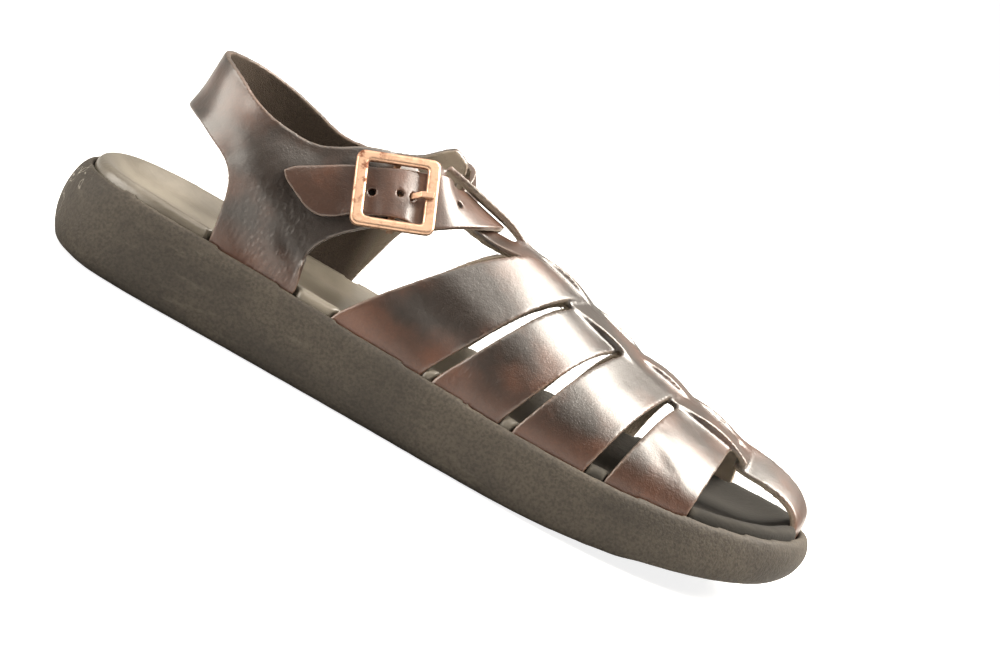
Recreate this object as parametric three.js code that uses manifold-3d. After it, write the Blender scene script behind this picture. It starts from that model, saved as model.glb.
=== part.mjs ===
// A right-foot woven strap sandal: rubber sole, rimmed footbed, woven vamp, heel quarter, buckled strap.
// X runs from heel to toe, -Y is the outer side, +Z is up, and the origin is under the middle of the sole.
import * as THREE from 'three';
import { mergeVertices } from 'three/addons/utils/BufferGeometryUtils.js';
import Module from 'manifold-3d';

const wasm = await Module();
wasm.setup();

// Driving dimensions in millimetres.
const soleLength = 289.7;
const ballWidth = 105.5;
const heelHeight = 30.9;
const ballHeight = 24.5;
const toeHeight = 18.2;
const toeSpring = 14.5;
const instepRise = 62;
const recessDepth = 7;
const sideRim = 3.6;
const endRim = 6;
const rimRise = 3.4;
const leather = 2.2;
const fitGap = 0.3;
const tuckDepth = 5.5;
const slotRoom = 0.8;
const wallShare = { outer: 0.907, inner: 1.452, instep: 1.1252 };
const stripPitch = 11;
const stripSlit = 0.7;
const slingHeight = 86;
const strapHole = 2.6;
const buckleLength = 29;
const buckleHeight = 27;
const buckleBar = 4.3;
const buckleRail = 3.5;
const buckleCorner = 3;
const buckleThickness = 3;
const buckleBevel = 0.6;
const windowCorner = 1;
const centreBar = 2.4;
const prongWidth = 2.2;
const prongThickness = 1.4;
const prongFoot = 2.6;
const prongLead = 1.6;
const prongReach = 0.62;
const rivetDiameter = 7.4;
const rivetRise = 1.8;
const rivetShank = 3;
const rivetFoot = 0.9;

// Sizes that follow the driving ones.
const springStart = 0.597;
const endReach = 34;
const halfSteps = 34;
const weaveLift = (leather - 0.25) / 2;
const crossingLift = leather + 0.9;
const crossingBase = -0.6;
const strapLift = leather + 0.5;
const frameLift = strapLift + 1.1;
const archRise = 1.2;

// The plan outline: along is a share of the length, out a share of the ball width from the centre line.
const lateralOutline = [
  { along: 0.010, out: 0.152 },
  { along: 0.042, out: 0.280 },
  { along: 0.123, out: 0.360 },
  { along: 0.274, out: 0.393 },
  { along: 0.446, out: 0.441 },
  { along: 0.597, out: 0.498 },
  { along: 0.677, out: 0.517 },
  { along: 0.768, out: 0.502 },
  { along: 0.859, out: 0.431 },
  { along: 0.934, out: 0.303 },
  { along: 0.980, out: 0.152 },
];
const medialOutline = [
  { along: 0.010, out: 0.152 },
  { along: 0.042, out: 0.280 },
  { along: 0.123, out: 0.355 },
  { along: 0.274, out: 0.360 },
  { along: 0.415, out: 0.365 },
  { along: 0.546, out: 0.412 },
  { along: 0.677, out: 0.474 },
  { along: 0.778, out: 0.483 },
  { along: 0.869, out: 0.441 },
  { along: 0.940, out: 0.355 },
  { along: 0.985, out: 0.227 },
];
const toeTip = { along: 1, out: 0.057 };

// The thickness of the sole's side along the shoe.
const soleTable = [
  { along: 0.00, height: heelHeight },
  { along: 0.14, height: heelHeight },
  { along: 0.345, height: heelHeight - 0.45 * (heelHeight - ballHeight) },
  { along: 0.617, height: ballHeight },
  { along: 0.798, height: ballHeight - 0.4 * (ballHeight - toeHeight) },
  { along: 1.00, height: toeHeight },
];

// The rounded side of the sole, from the tread up: level is a share of the height, insets in millimetres.
const sideTable = [
  { level: 0.00, sideInset: 3.8, endInset: 9.5 },
  { level: 0.06, sideInset: 1.9, endInset: 5.2 },
  { level: 0.24, sideInset: 0.3, endInset: 1.6 },
  { level: 0.52, sideInset: 0.0, endInset: 0.0 },
  { level: 0.78, sideInset: 0.2, endInset: 0.9 },
  { level: 0.94, sideInset: 1.1, endInset: 2.9 },
  { level: 1.00, sideInset: 2.6, endInset: 5.2 },
];

// The footbed across its edge: inset from its own outline, rise over the sole's top as a share of the rim.
const footbedTable = [
  { inset: 0.0, rise: 0.30 },
  { inset: 1.0, rise: 0.78 },
  { inset: 3.0, rise: 1.00 },
  { inset: 5.5, rise: 0.72 },
  { inset: 9.0, rise: 0.12 },
  { inset: 14.0, rise: -0.45 },
  { inset: 20.0, rise: -0.72 },
];

// The last: rise of its crest over the sole's top as a share of the instep, the crest's place across,
// and the line that the middle strip follows, both as shares of the ball width.
const lastTable = [
  { along: 0.133, rise: 2.60, crest: 0.000, line: 0.000 },
  { along: 0.194, rise: 1.90, crest: 0.000, line: 0.000 },
  { along: 0.264, rise: 1.36, crest: -0.010, line: -0.010 },
  { along: 0.335, rise: 1.12, crest: -0.035, line: -0.020 },
  { along: 0.372, rise: 1.02, crest: -0.055, line: -0.025 },
  { along: 0.437, rise: 0.915, crest: -0.095, line: -0.030 },
  { along: 0.534, rise: 0.820, crest: -0.090, line: -0.025 },
  { along: 0.575, rise: 0.780, crest: -0.065, line: -0.020 },
  { along: 0.627, rise: 0.707, crest: -0.025, line: -0.010 },
  { along: 0.704, rise: 0.590, crest: 0.012, line: 0.008 },
  { along: 0.789, rise: 0.478, crest: 0.040, line: 0.022 },
  { along: 0.876, rise: 0.335, crest: 0.085, line: 0.030 },
  { along: 0.929, rise: 0.255, crest: 0.100, line: 0.032 },
  { along: 1.000, rise: 0.160, crest: 0.105, line: 0.035 },
];
const crownPower = 1.7;
const flankPower = 2.2;

// The four cross straps, as shares of the length at the outer sole and the crest; then, on the inner side,
// at the shoulder beside the centre strips and at the sole.
const crossStraps = [
  { over: 1, outerBack: 0.364, outerFront: 0.490, crestBack: 0.558, crestFront: 0.627 },
  { over: -1, outerBack: 0.504, outerFront: 0.596, crestBack: 0.638, crestFront: 0.704 },
  { over: 1, outerBack: 0.614, outerFront: 0.710, crestBack: 0.710, crestFront: 0.779 },
  { over: -1, outerBack: 0.736, outerFront: 0.841, crestBack: 0.789, crestFront: 0.860 },
];
const innerStraps = [
  { shoulderBack: 0.536, shoulderFront: 0.628, soleBack: 0.399, soleFront: 0.514 },
  { shoulderBack: 0.630, shoulderFront: 0.698, soleBack: 0.530, soleFront: 0.622 },
  { shoulderBack: 0.700, shoulderFront: 0.781, soleBack: 0.640, soleFront: 0.750 },
  { shoulderBack: 0.784, shoulderFront: 0.870, soleBack: 0.776, soleFront: 0.886 },
];
const shoulderShare = 0.22;

// Each half of the heel quarter, from the back of the heel to the wing: the edge below (window, sole,
// front) and the edge above it. Along is a share of the length. Up is a share of the rise from the sole
// to the sling's top, or below the sole's top a share of the recess.
const quarterOuter = [
  { lowAlong: 0.0870, lowUp: 0.592, topAlong: 0.0973, topUp: 1.000 },
  { lowAlong: 0.1143, lowUp: 0.584, topAlong: 0.1284, topUp: 0.969 },
  { lowAlong: 0.1419, lowUp: 0.532, topAlong: 0.1577, topUp: 0.909 },
  { lowAlong: 0.1664, lowUp: 0.474, topAlong: 0.1819, topUp: 0.869 },
  { lowAlong: 0.1833, lowUp: 0.379, topAlong: 0.1992, topUp: 0.849 },
  { lowAlong: 0.1902, lowUp: 0.238, topAlong: 0.2164, topUp: 0.840 },
  { lowAlong: 0.1957, lowUp: 0.038, topAlong: 0.2320, topUp: 0.833 },
  { lowAlong: 0.2026, lowUp: -0.870, topAlong: 0.2475, topUp: 0.833 },
  { lowAlong: 0.2544, lowUp: -1.010, topAlong: 0.2665, topUp: 0.849 },
  { lowAlong: 0.3079, lowUp: -1.160, topAlong: 0.2855, topUp: 0.887 },
  { lowAlong: 0.3038, lowUp: 0.111, topAlong: 0.3027, topUp: 0.933 },
  { lowAlong: 0.3107, lowUp: 0.274, topAlong: 0.3200, topUp: 0.964 },
  { lowAlong: 0.3297, lowUp: 0.410, topAlong: 0.3372, topUp: 0.985 },
  { lowAlong: 0.3580, lowUp: 0.535, topAlong: 0.3545, topUp: 0.985 },
  { lowAlong: 0.3821, lowUp: 0.646, topAlong: 0.3707, topUp: 0.964 },
  { lowAlong: 0.3959, lowUp: 0.755, topAlong: 0.3852, topUp: 0.917 },
];
const quarterInner = [
  { lowAlong: 0.0870, lowUp: 0.592, topAlong: 0.0973, topUp: 1.000 },
  { lowAlong: 0.1143, lowUp: 0.584, topAlong: 0.1284, topUp: 0.969 },
  { lowAlong: 0.1419, lowUp: 0.532, topAlong: 0.1577, topUp: 0.942 },
  { lowAlong: 0.1664, lowUp: 0.474, topAlong: 0.1819, topUp: 0.917 },
  { lowAlong: 0.1833, lowUp: 0.379, topAlong: 0.2026, topUp: 0.891 },
  { lowAlong: 0.1902, lowUp: 0.238, topAlong: 0.2233, topUp: 0.862 },
  { lowAlong: 0.1957, lowUp: 0.038, topAlong: 0.2440, topUp: 0.829 },
  { lowAlong: 0.2026, lowUp: -0.870, topAlong: 0.2613, topUp: 0.809 },
  { lowAlong: 0.2717, lowUp: -1.060, topAlong: 0.2837, topUp: 0.811 },
  { lowAlong: 0.3424, lowUp: -1.230, topAlong: 0.3062, topUp: 0.833 },
  { lowAlong: 0.3573, lowUp: 0.038, topAlong: 0.3269, topUp: 0.869 },
  { lowAlong: 0.3683, lowUp: 0.220, topAlong: 0.3459, topUp: 0.909 },
  { lowAlong: 0.3780, lowUp: 0.383, topAlong: 0.3618, topUp: 0.953 },
  { lowAlong: 0.3925, lowUp: 0.537, topAlong: 0.3773, topUp: 1.029 },
  { lowAlong: 0.4115, lowUp: 0.682, topAlong: 0.3956, topUp: 1.109 },
  { lowAlong: 0.4242, lowUp: 0.873, topAlong: 0.4170, topUp: 1.053 },
];

// The buckled strap's two edges where it lies on the wings, in the same shares as the quarter's, and
// where it hangs free between the outer wing and the centre strips, with out a share of the ball width.
const strapOuterTable = [
  { station: -6, backAlong: 0.2278, backUp: 0.583, frontAlong: 0.2903, frontUp: 0.421 },
  { station: -5, backAlong: 0.2651, backUp: 0.697, frontAlong: 0.3117, frontUp: 0.474 },
  { station: -4, backAlong: 0.3045, backUp: 0.797, frontAlong: 0.3334, frontUp: 0.539 },
  { station: -3, backAlong: 0.3531, backUp: 0.877, frontAlong: 0.3763, frontUp: 0.619 },
];
const strapFreeRow = {
  station: -2,
  back: { along: 0.3977, out: -0.2038, up: 0.964 },
  front: { along: 0.4239, out: -0.3128, up: 0.695 },
};
const strapInnerTable = [
  { station: 2, backAlong: 0.4197, backUp: 1.011, frontAlong: 0.4405, frontUp: 0.753 },
  { station: 3, backAlong: 0.3780, backUp: 0.993, frontAlong: 0.3990, frontUp: 0.706 },
  { station: 4, backAlong: 0.3400, backUp: 0.927, frontAlong: 0.3611, frontUp: 0.633 },
];

// Its edges where it crosses the centre strips: shares of the length, and of the ball width.
const strapCrestTable = [
  { station: -1, backAlong: 0.422, backOut: -0.114, frontAlong: 0.477, frontOut: -0.161 },
  { station: 0, backAlong: 0.433, backOut: 0.000, frontAlong: 0.493, frontOut: 0.000 },
  { station: 1, backAlong: 0.428, backOut: 0.114, frontAlong: 0.474, frontOut: 0.171 },
];

// Hermite interpolation of one column of a table over another.
function between(rows, at, key, by = 'along') {
  let i = 1;
  while (i < rows.length - 1 && rows[i][by] < at) i += 1;
  const a = rows[i - 1];
  const b = rows[i];
  const before = rows[Math.max(0, i - 2)];
  const after = rows[Math.min(rows.length - 1, i + 1)];
  const span = b[by] - a[by];
  const t = Math.min(1, Math.max(0, (at - a[by]) / span));
  const slopeA = before === a ? (b[key] - a[key]) / span : (b[key] - before[key]) / (b[by] - before[by]);
  const slopeB = after === b ? (b[key] - a[key]) / span : (after[key] - a[key]) / (after[by] - a[by]);
  const t2 = t * t;
  const t3 = t2 * t;
  return (2 * t3 - 3 * t2 + 1) * a[key] + (t3 - 2 * t2 + t) * span * slopeA
    + (3 * t2 - 2 * t3) * b[key] + (t3 - t2) * span * slopeB;
}

const mix = THREE.MathUtils.lerp;

const smooth = (t) => {
  const s = Math.min(1, Math.max(0, t));
  return s * s * (3 - 2 * s);
};

// Heights of the quarter and its strap: a share of the sling's rise, or of the recess below the sole.
const slingRise = slingHeight - heelHeight;
const heightAt = (share) => heelHeight + share * (share < 0 ? recessDepth : slingRise);
const shareUp = (z) => (z - heelHeight) / (z < heelHeight ? recessDepth : slingRise);

const spring = (x) => toeSpring * (Math.max(0, x / soleLength - springStart) / (1 - springStart)) ** 2;
const soleTop = (x) => between(soleTable, x / soleLength, 'height') + spring(x);

// How near a place is to the heel's or the toe's end, from 0 to 1.
function endness(x) {
  const d = Math.max(0, Math.min(x, soleLength - x));
  return d > endReach ? 0 : (1 - d / endReach) ** 2;
}

function planPoint(row, side) {
  return new THREE.Vector2(row.along * soleLength, side * row.out * ballWidth);
}

// Points at even steps along a line of points.
function evenly(points, count) {
  const far = [0];
  for (let i = 1; i < points.length; i += 1) far.push(far[i - 1] + points[i].distanceTo(points[i - 1]));
  const result = [];
  let k = 1;
  for (let j = 0; j <= count; j += 1) {
    const d = far[far.length - 1] * j / count;
    while (k < points.length - 1 && far[k] < d) k += 1;
    result.push(points[k - 1].clone().lerp(points[k], (d - far[k - 1]) / (far[k] - far[k - 1])));
  }
  return result;
}

// The sole's outline from heel to toe along the outer side and back along the inner side.
function soleOutline() {
  const control = [new THREE.Vector2(0, 0)];
  lateralOutline.forEach((row) => control.push(planPoint(row, -1)));
  control.push(planPoint(toeTip, 1));
  [...medialOutline].reverse().forEach((row) => control.push(planPoint(row, 1)));
  const knots = control.map((p) => new THREE.Vector3(p.x, p.y, 0));
  const curve = new THREE.CatmullRomCurve3(knots, true, 'centripetal');
  const toeAt = (lateralOutline.length + 1) / control.length;
  const fine = 400;
  const outer = Array.from({ length: fine + 1 }, (_, i) => curve.getPoint(toeAt * i / fine));
  const back = (i) => toeAt + (1 - toeAt) * i / fine;
  const inner = Array.from({ length: fine + 1 }, (_, i) => curve.getPoint(back(i)));
  return [...evenly(outer, halfSteps).slice(0, -1), ...evenly(inner, halfSteps).slice(0, -1)];
}
const outline = soleOutline();

function outwards(i) {
  const n = outline.length;
  const d = outline[(i + 1) % n].clone().sub(outline[(i + n - 1) % n]).normalize();
  return new THREE.Vector3(d.y, -d.x, 0);
}

const grooveInset = (x) => sideRim + (endRim - sideRim) * endness(x);

// The outline moved inwards by a length that may change along the shoe.
function insetLine(inset) {
  return outline.map((p, i) => p.clone().addScaledVector(outwards(i), -inset(p.x)));
}
const strapLine = insetLine((x) => grooveInset(x) + fitGap);

function strapWidthAt(x, side) {
  const n = strapLine.length;
  let widest = 0;
  for (let i = 0; i < n; i += 1) {
    const a = strapLine[i];
    const b = strapLine[(i + 1) % n];
    if ((a.x - x) * (b.x - x) <= 0 && a.x !== b.x && side * (a.y + b.y) > 0) {
      widest = Math.max(widest, side * (a.y + (b.y - a.y) * (x - a.x) / (b.x - a.x)));
    }
  }
  return widest;
}

const lastRise = (x) => between(lastTable, x / soleLength, 'rise') * instepRise;
const crestAt = (x) => between(lastTable, x / soleLength, 'crest') * ballWidth;
const lineAt = (x) => between(lastTable, x / soleLength, 'line') * ballWidth;

// One side of the last's section at x, from the crest down to the sole, with its running length.
function sectionArc(x, side) {
  const steps = 48;
  const reach = strapWidthAt(x, side) - side * crestAt(x);
  const rise = lastRise(x);
  const points = [];
  for (let i = 0; i <= steps; i += 1) {
    const a = Math.PI / 2 * i / steps;
    const out = reach * Math.sin(a) ** (2 / crownPower);
    const up = i === steps ? 0 : rise * Math.cos(a) ** (2 / flankPower);
    points.push(new THREE.Vector2(out, up));
  }
  const far = [0];
  for (let i = 1; i <= steps; i += 1) far.push(far[i - 1] + points[i].distanceTo(points[i - 1]));
  return { points, far, total: far[steps] };
}

// A point of the last: girth is 0 at the crest, -1 at the outer sole and 1 at the inner sole.
// Past the sole it goes straight down into the groove.
function lastPoint(x, girth) {
  const side = girth < 0 ? -1 : 1;
  const arc = sectionArc(x, side);
  const d = Math.abs(girth) * arc.total;
  if (d >= arc.total) {
    const foot = side * arc.points[arc.points.length - 1].x + crestAt(x);
    return new THREE.Vector3(x, foot, soleTop(x) - (d - arc.total));
  }
  let k = 1;
  while (arc.far[k] < d) k += 1;
  const t = (d - arc.far[k - 1]) / (arc.far[k] - arc.far[k - 1]);
  const p = arc.points[k - 1].clone().lerp(arc.points[k], t);
  return new THREE.Vector3(x, side * p.x + crestAt(x), soleTop(x) + p.y);
}
const girthLength = (x, side) => sectionArc(x, side).total;

// A point of the last at a distance across from the line of the middle strip.
function besideLine(x, across) {
  const d = across + lineAt(x) - crestAt(x);
  return lastPoint(x, d / girthLength(x, Math.sign(d) || 1));
}

// Moves a shape built from the heel's end to the part's own origin.
const toOrigin = new THREE.Matrix4().makeTranslation(-soleLength / 2, 0, 0);

function toSolid(points, triangles) {
  const geometry = new THREE.BufferGeometry();
  const values = points.flatMap((p) => [p.x, p.y, p.z]);
  geometry.setAttribute('position', new THREE.Float32BufferAttribute(values, 3));
  geometry.setIndex(triangles);
  return solidOf(geometry);
}

// A boolean solid of a closed geometry, turned right side out if needed.
function solidOf(geometry) {
  const bare = geometry.clone();
  bare.deleteAttribute('normal');
  bare.deleteAttribute('uv');
  const merged = mergeVertices(bare, 1e-4);
  const at = merged.attributes.position;
  const index = Uint32Array.from(merged.index.array);
  let volume = 0;
  for (let i = 0; i < index.length; i += 3) {
    const a = new THREE.Vector3().fromBufferAttribute(at, index[i]);
    const b = new THREE.Vector3().fromBufferAttribute(at, index[i + 1]);
    const c = new THREE.Vector3().fromBufferAttribute(at, index[i + 2]);
    volume += a.dot(b.cross(c));
  }
  if (volume < 0) index.reverse();
  const vertProperties = Float32Array.from(at.array);
  const mesh = new wasm.Mesh({ numProp: 3, vertProperties, triVerts: index });
  return new wasm.Manifold(mesh);
}

function geometryOf(solid) {
  const mesh = solid.getMesh();
  const geometry = new THREE.BufferGeometry();
  geometry.setAttribute('position', new THREE.BufferAttribute(mesh.vertProperties, 3));
  geometry.setIndex(new THREE.BufferAttribute(mesh.triVerts, 1));
  geometry.applyMatrix4(toOrigin);
  geometry.computeVertexNormals();
  return geometry;
}

// A closed body from rings that run heel, outer side, toe, inner side; both ends are closed by
// strips between the outer and the inner side.
function ringBody(rings) {
  const n = rings[0].length;
  const points = rings.flat();
  const triangles = [];
  for (let r = 0; r < rings.length - 1; r += 1) {
    for (let i = 0; i < n; i += 1) {
      const j = (i + 1) % n;
      const [a, b, c, d] = [r * n + i, r * n + j, (r + 1) * n + j, (r + 1) * n + i];
      triangles.push(a, b, c, a, c, d);
    }
  }
  const cap = (base, flip) => {
    for (let i = 0; i < n / 2; i += 1) {
      const [a, b] = [base + i, base + i + 1];
      const [c, d] = [base + (n - i) % n, base + n - i - 1];
      const faces = [[a, b, d], [a, d, c]].filter((f) => new Set(f).size === 3);
      faces.forEach((f) => triangles.push(...(flip ? [...f].reverse() : f)));
    }
  };
  cap(0, true);
  cap((rings.length - 1) * n, false);
  return toSolid(points, triangles);
}

function ring(inset, height) {
  return insetLine(inset).map((p) => new THREE.Vector3(p.x, p.y, height(p.x)));
}

function outsoleSolid() {
  const rings = sideTable.map((row) => {
    const inset = (x) => row.sideInset + (row.endInset - row.sideInset) * endness(x);
    return ring(inset, (x) => spring(x) + row.level * (soleTop(x) - spring(x)));
  });
  rings.push(ring(grooveInset, soleTop));
  rings.push(ring(grooveInset, (x) => soleTop(x) - recessDepth));
  return ringBody(rings);
}

function footbedBlock() {
  const edge = (x) => grooveInset(x) + fitGap;
  const rings = [ring(edge, (x) => soleTop(x) - recessDepth + fitGap)];
  footbedTable.forEach((row) => {
    rings.push(ring((x) => edge(x) + row.inset, (x) => soleTop(x) + row.rise * rimRise));
  });
  return ringBody(rings);
}

// Normals of a grid of points, from its neighbours.
function gridNormals(grid) {
  const rows = grid.length;
  const columns = grid[0].length;
  return grid.map((line, i) => line.map((_, j) => {
    const a = grid[Math.min(rows - 1, i + 1)][j].clone().sub(grid[Math.max(0, i - 1)][j]);
    const b = line[Math.min(columns - 1, j + 1)].clone().sub(line[Math.max(0, j - 1)]);
    return a.cross(b).normalize();
  }));
}

// A plate between an outer and an inner face, both lifted off a grid along its normals or others.
function plate(grid, outerLift, innerLift, normals = gridNormals(grid)) {
  const columns = grid[0].length;
  const face = (lift) => grid.flatMap((line, i) => line.map((p, j) => {
    return p.clone().addScaledVector(normals[i][j], lift(i, j));
  }));
  const points = [...face(outerLift), ...face(innerLift)];
  const half = grid.length * columns;
  const at = (i, j) => i * columns + j;
  const triangles = [];
  const quad = (a, b, c, d) => triangles.push(a, b, c, a, c, d);
  for (let i = 0; i < grid.length - 1; i += 1) {
    for (let j = 0; j < columns - 1; j += 1) {
      quad(at(i, j), at(i + 1, j), at(i + 1, j + 1), at(i, j + 1));
      quad(half + at(i, j), half + at(i, j + 1), half + at(i + 1, j + 1), half + at(i + 1, j));
    }
    const [near, next] = [at(i, columns - 1), at(i + 1, columns - 1)];
    quad(at(i, 0), half + at(i, 0), half + at(i + 1, 0), at(i + 1, 0));
    quad(next, half + next, half + near, near);
  }
  for (let j = 0; j < columns - 1; j += 1) {
    const last = grid.length - 1;
    quad(at(0, j + 1), half + at(0, j + 1), half + at(0, j), at(0, j));
    quad(at(last, j), half + at(last, j), half + at(last, j + 1), at(last, j + 1));
  }
  return toSolid(points, triangles);
}

const across = (rows, columns, place) => Array.from({ length: rows + 1 }, (_, i) => {
  return Array.from({ length: columns + 1 }, (__, j) => place(i / rows, j / columns));
});

// The levels of a cross strap over its girth: it dives under or rides over the three strips.
function strapLevels(strap) {
  return [
    { d: -2.1 * stripPitch, level: 0 },
    { d: -stripPitch, level: strap.over },
    { d: 0, level: -strap.over },
    { d: stripPitch, level: strap.over },
    { d: 2.1 * stripPitch, level: 0 },
  ];
}

// The inner half of a cross strap's edge: from the crest over the shoulder to the inner sole.
function innerEdge(crest, shoulder, sole, share) {
  if (share < shoulderShare) return mix(crest, shoulder, smooth(share / shoulderShare));
  return mix(shoulder, sole, Math.min(1, (share - shoulderShare) / (1 - shoulderShare)));
}

// A place along the shoe on a cross strap: girth from the outer to the inner sole, w from back to front.
function crossStrapPlace(strap, girth, w, grow) {
  const share = Math.abs(girth);
  const inner = innerStraps[crossStraps.indexOf(strap)];
  const back = girth > 0 ? innerEdge(strap.crestBack, inner.shoulderBack, inner.soleBack, share)
    : mix(strap.crestBack, strap.outerBack, Math.min(1, share));
  const front = girth > 0 ? innerEdge(strap.crestFront, inner.shoulderFront, inner.soleFront, share)
    : mix(strap.crestFront, strap.outerFront, Math.min(1, share));
  return mix(back * soleLength - grow, front * soleLength + grow, w);
}

function crossStrapSolid(strap) {
  const tuck = 1 + tuckDepth / girthLength(strap.crestBack * soleLength, -1);
  const levels = strapLevels(strap);
  const girthAt = (u) => (2 * u - 1) * tuck;
  const steps = 28;
  const grid = across(steps, 3, (u, w) => {
    return lastPoint(crossStrapPlace(strap, girthAt(u), 1 - w, 0), girthAt(u));
  });
  const middle = (strap.crestBack + strap.crestFront) / 2 * soleLength;
  const lift = (i) => {
    const girth = girthAt(i / steps);
    const d = girth * girthLength(middle, Math.sign(girth) || 1) + crestAt(middle) - lineAt(middle);
    return weaveLift * between(levels, d, 'level', 'd');
  };
  return plate(grid, lift, (i) => lift(i) - leather);
}

// The slots in the footbed's rim that the straps pass down through.
function slotSolid(place) {
  const grow = fitGap;
  const grid = across(6, 4, place);
  return plate(grid, () => grow + slotRoom, () => -leather - grow - slotRoom);
}

function crossStrapSlot(strap, side) {
  const arc = girthLength(strap.outerBack * soleLength, side);
  return slotSolid((u, w) => {
    const girth = side * (1 + (u - 0.5) * 2 * (recessDepth + 1) / arc);
    const x = crossStrapPlace(strap, girth, side < 0 ? w : 1 - w, fitGap);
    return lastPoint(x, girth);
  });
}

// The three centre strips, from the tab above the instep to where they join at the toe. Where a strip rides
// over a strap it arches clear of it.
const tabStart = { outer: 0.389, inner: 0.411 };
const tabLift = [-0.4, 1.2, 3.0];
const stripEnd = 0.881;
const stripNarrows = [
  { along: 0.375, width: 1.00 },
  { along: 0.738, width: 1.00 },
  { along: 0.798, width: 0.90 },
  { along: 0.839, width: 0.70 },
  { along: 0.869, width: 0.52 },
  { along: 0.899, width: 0.45 },
];
const stripWidthAt = (x) => between(stripNarrows, x / soleLength, 'width');

function stripLevels(over, start, lift) {
  const rows = crossStraps.map((s) => {
    const arch = over * s.over < 0 ? archRise : 0;
    return { along: (s.crestBack + s.crestFront) / 2, level: -over * s.over * weaveLift + arch };
  });
  return [
    { along: start, level: lift },
    { along: 0.427, level: crossingBase - over * crossingLift },
    { along: 0.497, level: crossingBase - over * crossingLift },
    { along: 0.532, level: -over * weaveLift * 0.3 },
    ...rows,
    { along: 0.88, level: 0 },
  ];
}

function centreStripSolid(place) {
  const over = place === 0 ? -1 : 1;
  const tab = mix(tabStart.outer, tabStart.inner, (place + 1) / 2);
  const levels = stripLevels(over, tab, tabLift[place + 1]);
  const half = (stripPitch - stripSlit) / 2;
  const steps = 36;
  const xAt = (u) => mix(tab, stripEnd, u) * soleLength;
  const grid = across(steps, 1, (u, w) => {
    const x = xAt(u);
    return besideLine(x, (place * stripPitch + (2 * w - 1) * half) * stripWidthAt(x));
  });
  const lift = (i) => between(levels, xAt(i / steps) / soleLength, 'level');
  return plate(grid, lift, (i) => lift(i) - leather);
}

// The toe strap: on from the centre strips, over the toes and down into the groove at the toe.
const toeStrapStart = 0.867;
const toeKneePower = 2.6;
const toeStrapHalf = 7.2;
const toeStrapTilt = 2.4;
const toeSlotRows = 9;
const toeSlotRoom = 2;

// The inside of the groove at the toe, at a place across the shoe.
function toeEdgeAt(y) {
  const n = strapLine.length;
  let edge = 0;
  for (let i = 0; i < n; i += 1) {
    const a = strapLine[i];
    const b = strapLine[(i + 1) % n];
    if ((a.y - y) * (b.y - y) <= 0 && a.y !== b.y) {
      edge = Math.max(edge, a.x + (b.x - a.x) * (y - a.y) / (b.y - a.y));
    }
  }
  return edge;
}

function toeStrapGrid(grow) {
  const startX = toeStrapStart * soleLength;
  const startZ = lastPoint(startX, 0).z;
  const bend = 16;
  const sink = 3;
  return across(bend + sink, 2, (u, w) => {
    const i = Math.round(u * (bend + sink));
    const a = Math.PI / 2 * Math.min(1, i / bend);
    const out = (2 * w - 1) * (toeStrapHalf + grow);
    const frontX = toeEdgeAt(lineAt(soleLength) + out) - fitGap;
    const footZ = soleTop(frontX);
    const x = startX + (frontX - startX) * Math.sin(a) ** (2 / toeKneePower);
    const up = (startZ - footZ) * (i >= bend ? 0 : Math.cos(a) ** (2 / toeKneePower));
    const down = Math.max(0, i - bend) / sink * (tuckDepth + grow);
    const lean = toeStrapTilt * (out / toeStrapHalf - 1) * Math.cos(a) ** 0.5;
    return new THREE.Vector3(x, lineAt(x) + out, footZ + up - down + (i >= bend ? 0 : lean));
  });
}

function toeStrapSolid() {
  return plate(toeStrapGrid(0), () => 0, () => -leather);
}

function toeStrapSlot() {
  const grid = toeStrapGrid(fitGap).slice(-toeSlotRows);
  return plate(grid, () => toeSlotRoom, () => -leather - fitGap - slotRoom);
}

// The largest body of a solid: pockets sealed between two layers are filled.
function outerShell(solid) {
  return solid.decompose().sort((a, b) => b.volume() - a.volume())[0];
}

function vampSolid() {
  let body = toeStrapSolid();
  crossStraps.forEach((strap) => { body = body.add(crossStrapSolid(strap)); });
  [-1, 0, 1].forEach((place) => { body = body.add(centreStripSolid(place)); });
  return outerShell(body);
}

// The heel of the last leans forward above the sole: the place of its back at a height, as shares.
const heelBackTable = [
  { up: -1.56, along: 0.0197 },
  { up: 0.165, along: 0.0438 },
  { up: 0.592, along: 0.0870 },
  { up: 1.000, along: 0.0973 },
  { up: 1.254, along: 0.1008 },
];
const heelCentre = 0.251 * soleLength;
const heelPower = 2.2;
const turnShare = 318.7;
const turnPerMm = turnShare / soleLength;
const heelFree = 0.1657 * soleLength;

const heelBack = (z) => between(heelBackTable, shareUp(z), 'along', 'up') * soleLength;

// Turn is the way round the heel in degrees up to its centre, then goes on along the side.
function turnOf(x, z) {
  if (x >= heelCentre) return 90 + (x - heelCentre) * turnPerMm;
  const share = Math.min(1, (heelCentre - x) / (heelCentre - heelBack(z)));
  return THREE.MathUtils.radToDeg(Math.acos(share ** (heelPower / 2)));
}

// How high the wall under the quarter would reach: it follows the last's crest and grows with the sling.
function wallRise(x, side) {
  const least = side < 0 ? wallShare.outer : wallShare.inner;
  return slingRise * Math.max(least, wallShare.instep * between(lastTable, x / soleLength, 'rise'));
}

function quarterPlace(turn, z, side) {
  const a = THREE.MathUtils.degToRad(Math.min(90, turn));
  const x = turn > 90 ? heelCentre + (turn - 90) / turnPerMm
    : heelCentre - (heelCentre - heelBack(z)) * Math.cos(a) ** (2 / heelPower);
  const wrap = turn > 90 ? 1 : Math.sin(a) ** (2 / heelPower);
  const up = Math.max(0, z - soleTop(x)) / wallRise(x, side);
  const crest = crestAt(Math.max(x, heelFree));
  const reach = strapWidthAt(Math.max(x, heelFree), side) - side * crest;
  const out = reach * (1 - up ** flankPower) ** (1 / crownPower);
  return new THREE.Vector3(x, wrap * (side * out + crest), z);
}

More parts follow.
